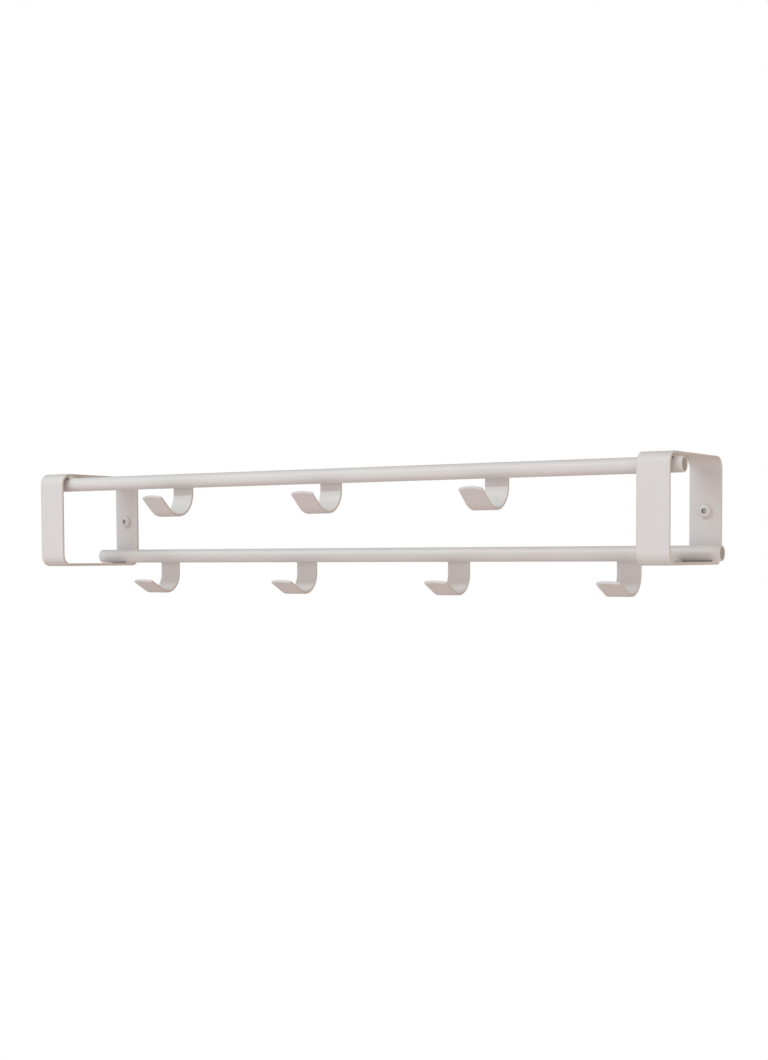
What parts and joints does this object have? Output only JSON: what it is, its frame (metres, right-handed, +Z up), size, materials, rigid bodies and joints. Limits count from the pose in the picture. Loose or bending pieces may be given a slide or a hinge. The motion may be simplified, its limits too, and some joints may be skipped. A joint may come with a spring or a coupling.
{
  "type": "wall coat rack",
  "caption": "Wall-hung coat rack of welded flat strap and round rail: two rectangular end loops, two staggered rails and flat J-shaped hooks, fixed with one screw through each loop.",
  "frame": {"origin": "on the wall plane, midway between the two wall screws", "axes": "+X along the rack, +Y into the wall, +Z up"},
  "size_m": [0.8136, 0.1899, 0.1417],
  "materials": {
    "powder_coat": "fine satin powder coat, warm light grey",
    "end_plug": "matt moulded plastic, light grey",
    "screw_finish": "satin paint to match the rack"
  },
  "bodies": {
    "root": {"left_end_loop": "powder_coat", "right_end_loop": "powder_coat", "upper_rail": "powder_coat", "lower_rail": "powder_coat", "rail_plugs": "end_plug", "upper_hook_1": "powder_coat", "upper_hook_2": "powder_coat", "upper_hook_3": "powder_coat", "upper_hook_welds": "powder_coat", "lower_hook_1": "powder_coat", "lower_hook_2": "powder_coat", "lower_hook_3": "powder_coat", "lower_hook_4": "powder_coat", "lower_hook_welds": "powder_coat", "left_loop_welds": "powder_coat", "right_loop_welds": "powder_coat", "wall_screws": "screw_finish"}
  },
  "joints": []
}
